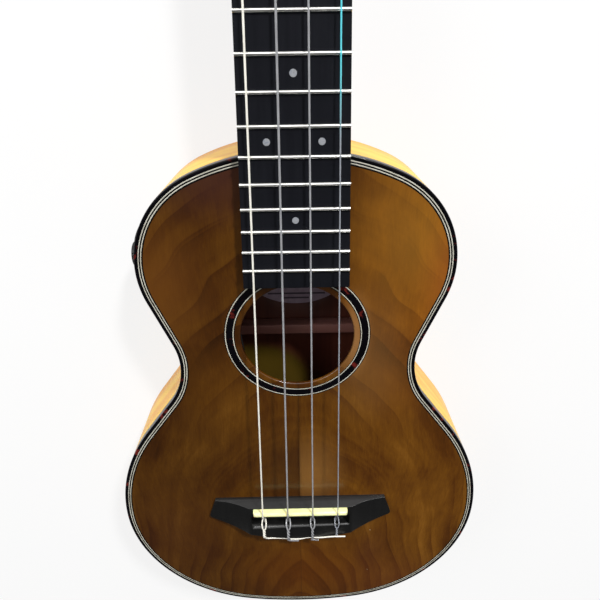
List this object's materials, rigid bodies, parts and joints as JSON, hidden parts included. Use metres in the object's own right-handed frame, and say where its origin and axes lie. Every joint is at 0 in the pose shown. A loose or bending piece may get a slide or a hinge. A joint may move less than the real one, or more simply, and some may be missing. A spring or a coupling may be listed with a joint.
{
  "type": "ukulele",
  "caption": "Concert ukulele with figured top, tortoiseshell binding and rosette, tie bridge, geared machine heads and a side preamp with volume knob.",
  "frame": {"origin": "on the outside of the flat back, straight under the string end of the scale", "axes": "+X to the treble side, +Y towards the head, +Z out of the soundboard; the instrument lies on its back"},
  "size_m": [0.198, 0.6228, 0.0538],
  "materials": {
    "top_wood": "clear gloss over figured hardwood",
    "back_wood": "clear gloss outside",
    "side_wood": "clear gloss over honey maple",
    "block_wood": "sawn",
    "lining_wood": "sawn",
    "brace_wood": "sanded",
    "neck_wood": "satin",
    "tortoise": "polished",
    "ivory_line": "polished",
    "black_line": "polished",
    "label_paper": "matt",
    "ebony": "oiled",
    "bone": "polished",
    "pickup_foil": "bright",
    "lead_sheath": "satin",
    "fret_wire": "polished",
    "pearl": "pearled",
    "string_white": "smooth",
    "string_clear": "smooth",
    "nickel": "polished",
    "steel": "turned",
    "button_plastic": "polished",
    "black_plastic": "fine texture",
    "board_green": "satin",
    "cell_steel": "bright"
  },
  "bodies": {
    "body": {"back": "back_wood", "back_binding": "tortoise", "back_braces": "brace_wood", "bridge": "ebony", "bridge_plate": "brace_wood", "circuit_board": "board_green", "fretboard": "ebony", "frets": "fret_wire", "head_veneer": "ebony", "heel_cap": "ebony", "jack_nuts": "nickel", "label": "label_paper", "linings": "lining_wood", "neck": "neck_wood", "neck_block": "block_wood", "nut": "bone", "output_jack": "nickel", "pickup_leads": "lead_sheath", "pickup_strip": "pickup_foil", "position_dots": "pearl", "preamp_housing": "black_plastic", "purfling_black": "black_line", "purfling_white": "ivory_line", "rosette_band": "tortoise", "rosette_black": "black_line", "rosette_white": "ivory_line", "saddle": "bone", "side_bass": "side_wood", "side_treble": "side_wood", "soundboard": "top_wood", "string_a": "string_clear", "string_c": "string_clear", "string_e": "string_clear", "string_g": "string_white", "tail_block": "block_wood", "top_binding": "tortoise", "top_braces": "brace_wood", "tuner_1_housing": "nickel", "tuner_2_housing": "nickel", "tuner_3_housing": "nickel", "tuner_4_housing": "nickel", "tuner_bushings": "nickel", "tuner_screws": "nickel"},
    "key_1": {"tuner_1_worm": "steel", "tuner_1_button": "button_plastic"},
    "post_1": {"tuner_1_post": "nickel"},
    "key_2": {"tuner_2_worm": "steel", "tuner_2_button": "button_plastic"},
    "post_2": {"tuner_2_post": "nickel"},
    "key_3": {"tuner_3_worm": "steel", "tuner_3_button": "button_plastic"},
    "post_3": {"tuner_3_post": "nickel"},
    "key_4": {"tuner_4_worm": "steel", "tuner_4_button": "button_plastic"},
    "post_4": {"tuner_4_post": "nickel"},
    "volume": {"volume_knob": "black_plastic"},
    "tune_switch": {"tune_button": "black_plastic"},
    "battery_tray": {"battery_drawer": "black_plastic", "coin_cell": "cell_steel"}
  },
  "joints": [
    {"name": "key_1_turn", "type": "hinge", "parent": "body", "child": "key_1", "pos_m": [-0.0175, 0.43222, 0.01814], "axis": [-1, 0, 0], "continuous": true},
    {"name": "post_1_turn", "type": "hinge", "parent": "body", "child": "post_1", "pos_m": [-0.0175, 0.42833, 0.03436], "axis": [0, 0.1736, 0.9848], "continuous": true},
    {"name": "key_2_turn", "type": "hinge", "parent": "body", "child": "key_2", "pos_m": [-0.0175, 0.48146, 0.00945], "axis": [-1, 0, 0], "continuous": true},
    {"name": "post_2_turn", "type": "hinge", "parent": "body", "child": "post_2", "pos_m": [-0.0175, 0.47757, 0.02568], "axis": [0, 0.1736, 0.9848], "continuous": true},
    {"name": "key_3_turn", "type": "hinge", "parent": "body", "child": "key_3", "pos_m": [0.0175, 0.48146, 0.00945], "axis": [1, 0, 0], "continuous": true},
    {"name": "post_3_turn", "type": "hinge", "parent": "body", "child": "post_3", "pos_m": [0.0175, 0.47757, 0.02568], "axis": [0, 0.1736, 0.9848], "continuous": true},
    {"name": "key_4_turn", "type": "hinge", "parent": "body", "child": "key_4", "pos_m": [0.0175, 0.43222, 0.01814], "axis": [1, 0, 0], "continuous": true},
    {"name": "post_4_turn", "type": "hinge", "parent": "body", "child": "post_4", "pos_m": [0.0175, 0.42833, 0.03436], "axis": [0, 0.1736, 0.9848], "continuous": true},
    {"name": "volume_turn", "type": "hinge", "parent": "body", "child": "volume", "pos_m": [-0.0725, 0.141, 0.0222], "axis": [-1, 0, 0], "range_deg": [-140, 140]},
    {"name": "tune_press", "type": "slide", "parent": "body", "child": "tune_switch", "axis": [1, 0, 0], "range_m": [0, 0.0008], "stiffness_N_per_m": 400},
    {"name": "tray_slide", "type": "slide", "parent": "body", "child": "battery_tray", "axis": [-1, 0, 0], "range_m": [0, 0.014]}
  ],
  "couplings": [
    {"joint": "post_1_turn", "follows": "key_1_turn", "ratio": -0.071429},
    {"joint": "post_2_turn", "follows": "key_2_turn", "ratio": -0.071429},
    {"joint": "post_3_turn", "follows": "key_3_turn", "ratio": 0.071429},
    {"joint": "post_4_turn", "follows": "key_4_turn", "ratio": 0.071429}
  ]
}
